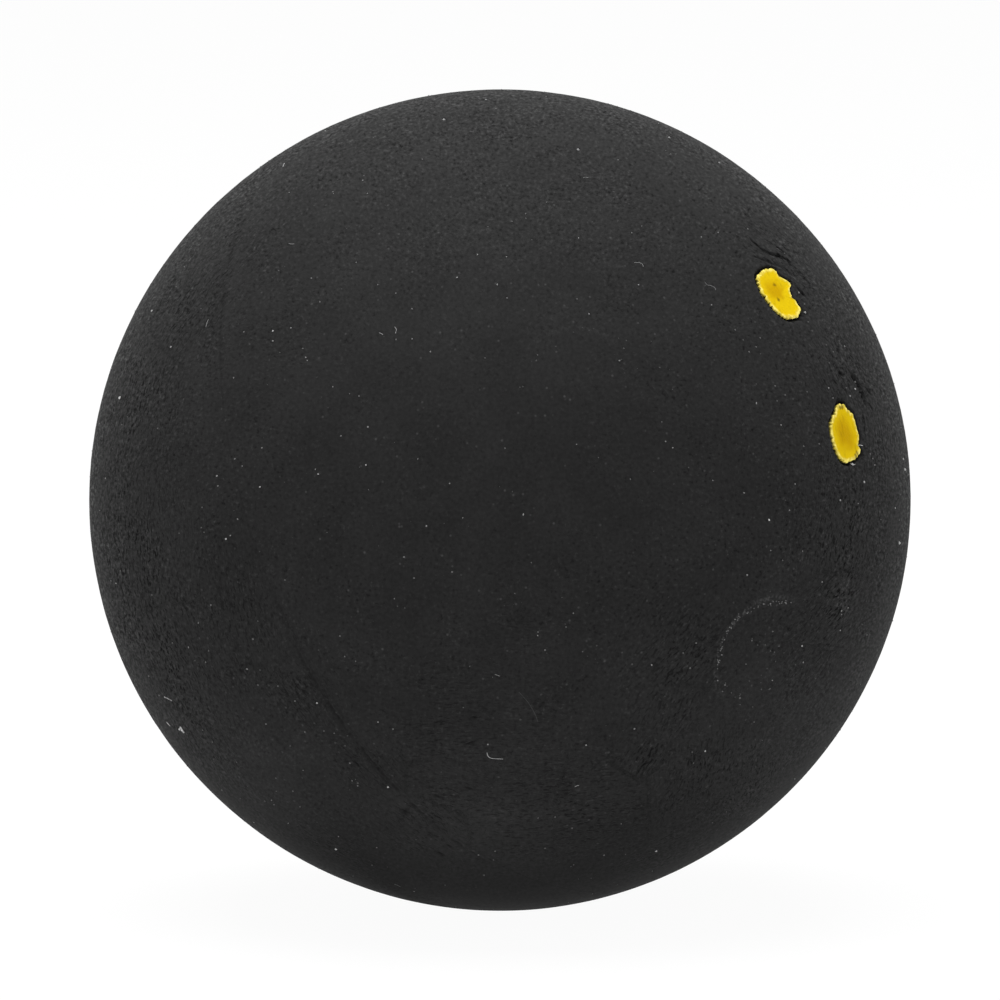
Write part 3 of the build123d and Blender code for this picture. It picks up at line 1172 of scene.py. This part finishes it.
# Lint
# A few pale textile fibres that cling to the tacky skin: one hooked, some curled, and short straight
# clippings. They lie loose on the ball, and nothing else holds them.
FIBRE_RADIUS = 0.000013
FIBRE_STEP = 0.00004
FIBRE_SIDES = 5
LINT_SHADES = (0.05, 0.40)

# Pixels along each fibre, and its paleness.
FIBRES = [
    ([(487, 752.5), (487.8, 755.7), (490.3, 757.9), (496, 758.7), (503, 758.9)], 1.0),
    ([(704.7, 282), (707, 284.7), (711.4, 285.8), (714.7, 287.6), (715.8, 290.3)], 0.35),
    ([(634.4, 262.6), (638.8, 262.6), (642.2, 264.1), (643.3, 267)], 0.4),
    ([(379.3, 332.7), (381, 333.4), (383, 334.7)], 0.7),
    ([(394.7, 327), (396.4, 329.6), (395.4, 333.4)], 0.7),
    ([(495, 674.4), (497.5, 675.1), (500, 676.3)], 0.6),
    ([(574.8, 786.6), (577, 785.7), (579, 785.3)], 1.0),
    ([(289, 243.6), (291.7, 244), (294.4, 243.9)], 0.5),
    ([(205.9, 327), (207, 323), (208.4, 319.4)], 0.6),
    ([(583, 177.6), (585.6, 177.4), (588.2, 177.6)], 0.6),
    ([(394.6, 884.2), (397.5, 885.2), (400.4, 886.7)], 0.6),
    ([(282.9, 166.8), (283.6, 165), (284.5, 163.3)], 1.0),
    ([(519, 692), (528.6, 703), (535, 714), (538, 722)], 0.0),
    ([(858, 445.4), (860.3, 445.1), (862.8, 445.7)], 1.0),
    ([(850.8, 463.6), (852.8, 465), (855.2, 464.2)], 1.0),
]


def fibre_lines():
    """A mesh of bent lines on the skin, one for each fibre, with its paleness."""
    points = []
    edges = []
    shades = []
    for route, shade in FIBRES:
        edges += [(len(points) + i, len(points) + i + 1) for i in range(len(route) - 1)]
        points += [on_skin(pixel) for pixel in route]
        shades += [shade] * len(route)
    mesh = bpy.data.meshes.new("lint")
    mesh.from_pydata(points, edges, [])
    note(mesh, "paleness", shades)
    return mesh


def lint_tree():
    """Geometry nodes that smooth each line and give it a fibre's thickness."""
    sizes_in = {"Fibre Radius": "Float", "Step": "Float", "Sides": "Int"}
    tree, given, out = new_tree("lint", {**sizes_in, "Material": "Material"})
    lines = add_node(tree, "GeometryNodeMeshToCurve", {}, {"Mesh": given["Geometry"]})
    smooth = add_node(tree, "GeometryNodeCurveSplineType", {"spline_type": "CATMULL_ROM"}, {
        "Curve": lines.outputs["Curve"],
    })
    even = add_node(tree, "GeometryNodeResampleCurve", {"mode": "LENGTH"}, {
        "Curve": smooth.outputs["Curve"],
        "Length": given["Step"],
    })
    section_sizes = {"Resolution": given["Sides"], "Radius": given["Fibre Radius"]}
    section = add_node(tree, "GeometryNodeCurvePrimitiveCircle", {}, section_sizes)
    sweep = {"Curve": even.outputs["Curve"], "Profile Curve": section.outputs["Curve"], "Fill Caps": True}
    fibres = add_node(tree, "GeometryNodeCurveToMesh", {}, sweep)
    finish_tree(tree, fibres.outputs["Mesh"], given["Material"], out)
    return tree


lint = make_piece("lint_fibres", fibre_lines())
run_tree(lint, lint_tree(), {
    "Fibre Radius": FIBRE_RADIUS,
    "Step": FIBRE_STEP,
    "Sides": FIBRE_SIDES,
    "Material": court_dust("pale_lint", *LINT_SHADES),
})
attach(lint, "root")


# Floor, light and camera
# A sheet of matt white paper that the ball rests on, under a square softbox and an even white sky. The
# camera has a long lens and stands a little above the ball's middle.
FLOOR_SIZE = 8.0
FLOOR_COLOUR = (0.9, 0.9, 0.9, 1)
FLOOR_GLOW = 0.955
SKY_LIGHT = 0.50
SOFTBOX_SIZE = 0.5
SOFTBOX_POWER = 6.9
SOFTBOX_PLACE = (-0.045, -0.02, 0.6)
SENSOR_WIDTH = 36.0


def seen_directly(tree):
    """One for camera, glossy and transmission rays, which see the plain white of the backdrop."""
    path = add_node(tree, "ShaderNodeLightPath").outputs
    seen = calculate(tree, "MAXIMUM", path["Is Camera Ray"], path["Is Glossy Ray"])
    return calculate(tree, "MAXIMUM", seen, path["Is Transmission Ray"])


def white_sheet():
    """Matt white paper, shown nearly pure white with the ball's shadow left on it."""
    material = bpy.data.materials.new("white_sheet")
    material.use_nodes = True
    tree = material.node_tree
    tree.nodes.clear()
    matt = add_node(tree, "ShaderNodeBsdfDiffuse", {}, {"Color": FLOOR_COLOUR})
    glow = add_node(tree, "ShaderNodeEmission", {}, {"Color": (1, 1, 1, 1), "Strength": 1.0})
    share = times(tree, seen_directly(tree), FLOOR_GLOW)
    mix = add_node(tree, "ShaderNodeMixShader", {}, {0: share, 1: matt.outputs[0], 2: glow.outputs[0]})
    add_node(tree, "ShaderNodeOutputMaterial", {}, {"Surface": mix.outputs[0]})
    return material


floor_mesh = bpy.data.meshes.new("floor")
half = FLOOR_SIZE / 2
floor_corners = [(-half, -half), (half, -half), (half, half), (-half, half)]
floor_mesh.from_pydata([(x, y, -BALL_RADIUS) for x, y in floor_corners], [], [(0, 1, 2, 3)])
floor_mesh.materials.append(white_sheet())
floor = make_piece("floor", floor_mesh)

world = bpy.data.worlds.new("studio")
bpy.context.scene.world = world
world.use_nodes = True
world_tree = world.node_tree
sky = world_tree.nodes["Background"]
sky.inputs["Color"].default_value = (1, 1, 1, 1)
strength = ranged(world_tree, seen_directly(world_tree), 0.0, 1.0, SKY_LIGHT, 1.0)
world_tree.links.new(strength, sky.inputs["Strength"])

softbox = bpy.data.lights.new("overhead_softbox", "AREA")
softbox.shape = "SQUARE"
softbox.size = SOFTBOX_SIZE
softbox.energy = SOFTBOX_POWER
softbox_stand = bpy.data.objects.new("overhead_softbox", softbox)
softbox_stand.location = SOFTBOX_PLACE
bpy.context.scene.collection.objects.link(softbox_stand)

lens = bpy.data.cameras.new("camera")
lens.sensor_width = SENSOR_WIDTH
lens.lens = SENSOR_WIDTH * pixel_focal / PHOTO_SIDE
camera = bpy.data.objects.new("camera", lens)
camera.location = camera_back * CAMERA_DISTANCE
camera.rotation_euler = (math.pi / 2 - CAMERA_RISE, 0, 0)
bpy.context.scene.collection.objects.link(camera)
bpy.context.scene.camera = camera
bpy.context.scene.view_settings.view_transform = "Standard"
